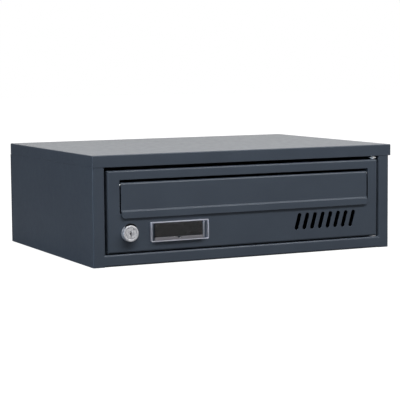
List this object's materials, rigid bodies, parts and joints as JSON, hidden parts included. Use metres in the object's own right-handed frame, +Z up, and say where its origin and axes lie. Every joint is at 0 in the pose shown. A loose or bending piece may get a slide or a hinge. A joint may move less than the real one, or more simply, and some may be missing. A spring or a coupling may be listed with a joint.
{
  "type": "wall mounted mailbox",
  "caption": "Flat folded-steel letterbox with slip-over cover, side-hung front door, letter flap, cam lock, clear name-plate holder and slanted vents.",
  "frame": {"origin": "centre of the back panel's rear face, the plane that meets the wall", "axes": "+X to the right seen from the front, along the width; +Y into the wall, out of the back; +Z up. The front faces -Y."},
  "size_m": [0.3726, 0.2768, 0.12],
  "materials": {
    "anthracite_powder_coat": "satin powder coat, fine orange peel",
    "bright_zinc": "bright zinc plating",
    "nickel_plate": "satin nickel plating",
    "black_plastic": "matt moulded plastic",
    "clear_plastic": "clear, polished",
    "black_card": "matt card"
  },
  "bodies": {
    "casing": {"left_side_panel": "anthracite_powder_coat", "right_side_panel": "anthracite_powder_coat", "bottom_panel": "anthracite_powder_coat", "back_panel": "anthracite_powder_coat", "top_cover": "anthracite_powder_coat", "front_cross_rail": "anthracite_powder_coat", "rear_cross_rail": "anthracite_powder_coat", "cover_stud_1": "bright_zinc", "cover_stud_2": "bright_zinc", "cover_stud_3": "bright_zinc", "cover_stud_4": "bright_zinc", "cover_nut_1": "bright_zinc", "cover_nut_2": "bright_zinc", "cover_nut_3": "bright_zinc", "cover_nut_4": "bright_zinc", "upper_hinge_pin": "bright_zinc", "lower_hinge_pin": "bright_zinc", "upper_hinge_collar": "bright_zinc", "lower_hinge_collar": "bright_zinc"},
    "door": {"door_panel": "anthracite_powder_coat", "flap_rod": "bright_zinc", "rod_cap_left": "bright_zinc", "rod_cap_right": "bright_zinc", "lock_housing": "nickel_plate", "lock_drip_ring": "black_plastic", "lock_nut": "bright_zinc", "name_plate_holder": "clear_plastic", "name_card": "black_card", "name_plate_clip_left": "bright_zinc", "name_plate_clip_right": "bright_zinc"},
    "flap": {"letter_flap": "anthracite_powder_coat"},
    "lock_core": {"lock_plug": "nickel_plate", "lock_cam": "bright_zinc", "cam_washer": "bright_zinc", "cam_screw": "bright_zinc"}
  },
  "joints": [
    {"name": "door_hinge", "type": "hinge", "parent": "casing", "child": "door", "pos_m": [0.1655, -0.2655, 0], "axis": [0, 0, 1], "range_deg": [0, 100]},
    {"name": "flap_hinge", "type": "hinge", "parent": "door", "child": "flap", "pos_m": [0.0012, -0.2675, 0.0273], "axis": [-1, 0, 0], "range_deg": [0, 85]},
    {"name": "lock_turn", "type": "hinge", "parent": "door", "child": "lock_core", "pos_m": [-0.144, -0.27, -0.0245], "axis": [0, -1, 0], "range_deg": [0, 90]}
  ]
}
